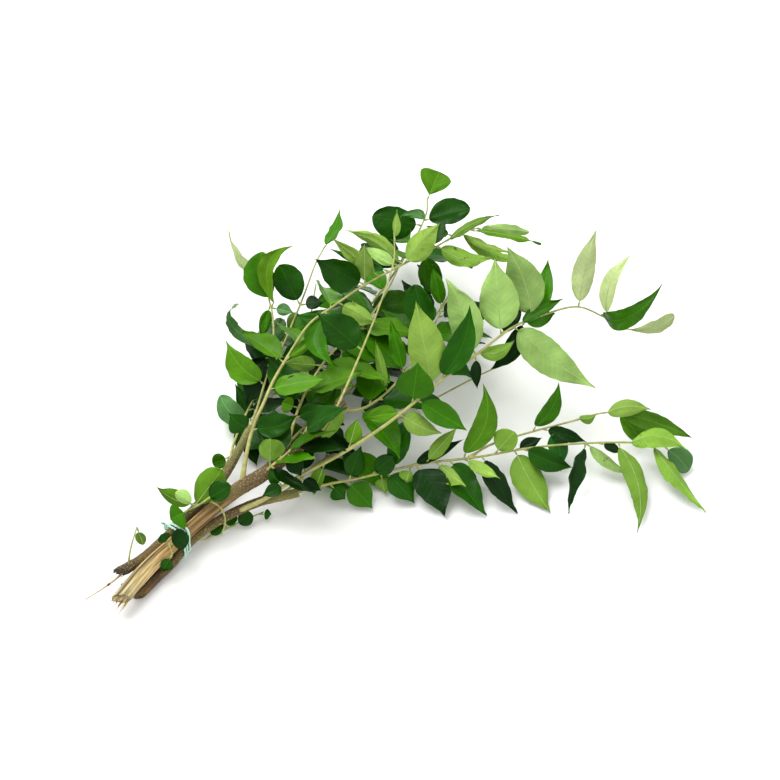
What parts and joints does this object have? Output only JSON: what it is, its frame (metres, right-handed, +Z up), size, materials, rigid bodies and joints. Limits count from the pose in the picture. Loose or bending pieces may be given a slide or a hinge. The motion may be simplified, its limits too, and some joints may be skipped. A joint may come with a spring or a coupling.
{
  "type": "curry leaf sprig",
  "caption": "Bunch of cut curry leaf fronds on woody stems, tied near the cut ends with a thin string and lying on a surface.",
  "frame": {"origin": "middle of the flat underside of the lowest woody stem, on the surface that the bunch rests on", "axes": "+X along the bunch from the cut stem ends to the leaf tips, +Z up from the surface"},
  "size_m": [0.2862, 0.2378, 0.0725],
  "materials": {
    "bark": "dry bark, partly peeled",
    "leaf": "fresh leaf, satin",
    "stalk": "fresh green stalk, matte",
    "string": "pale mint string, matte"
  },
  "bodies": {
    "root": {"woody_stem_1": "bark", "woody_stem_2": "bark", "woody_stem_3": "bark", "woody_stem_4": "bark", "frond_01": "leaf", "frond_02": "leaf", "frond_03": "leaf", "frond_04": "leaf", "frond_05": "leaf", "frond_06": "leaf", "frond_07": "leaf", "frond_08": "leaf", "frond_09": "leaf", "frond_10": "leaf", "frond_11": "leaf", "frond_12": "leaf", "frond_13": "leaf", "frond_14": "leaf", "frond_15": "leaf", "frond_16": "leaf", "frond_17": "leaf", "bare_petiole": "stalk", "stray_stalk": "stalk", "tie": "string"}
  },
  "joints": []
}
